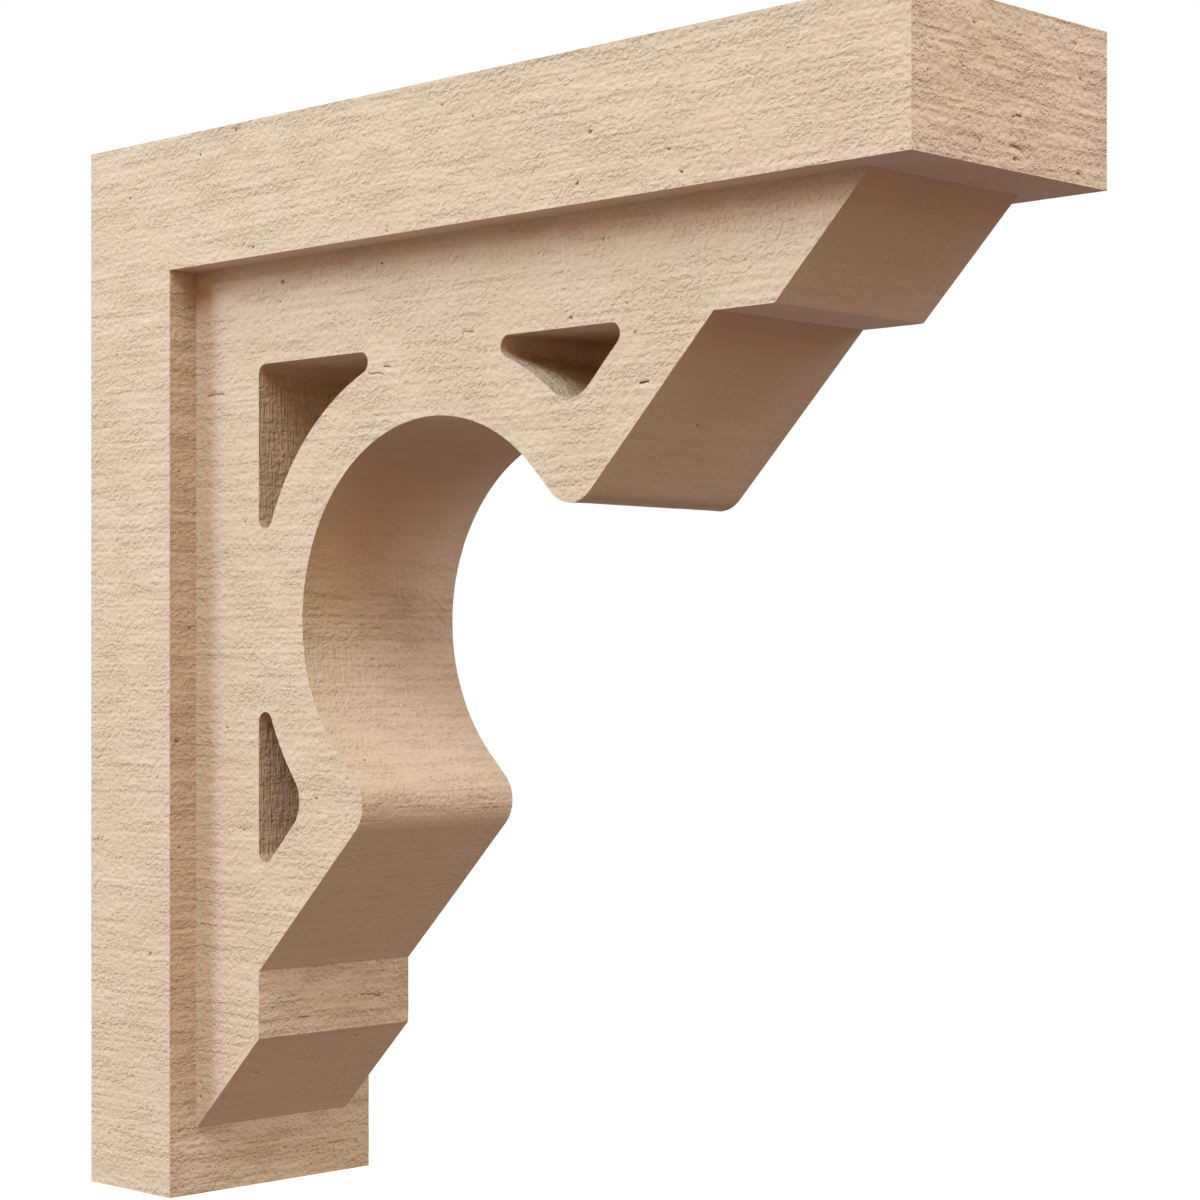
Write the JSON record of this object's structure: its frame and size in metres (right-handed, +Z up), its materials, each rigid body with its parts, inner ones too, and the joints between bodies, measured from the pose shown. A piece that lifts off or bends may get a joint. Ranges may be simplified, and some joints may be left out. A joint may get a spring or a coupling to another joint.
{
  "type": "corbel",
  "caption": "Moulded faux-timber porch corbel: an upright leg and a level arm braced by a pierced plate with a round notch in its front.",
  "frame": {"origin": "centre of the flat back face, which goes against the wall", "axes": "+X away from the wall along the arm, +Y across the corbel's width, +Z up, towards the face that carries the load"},
  "size_m": [0.4064, 0.1016, 0.4064],
  "materials": {
    "moulding": "matt tan primer over a moulded rough-sawn grain that runs level along the sides"
  },
  "bodies": {
    "root": {"corbel": "moulding"}
  },
  "joints": []
}
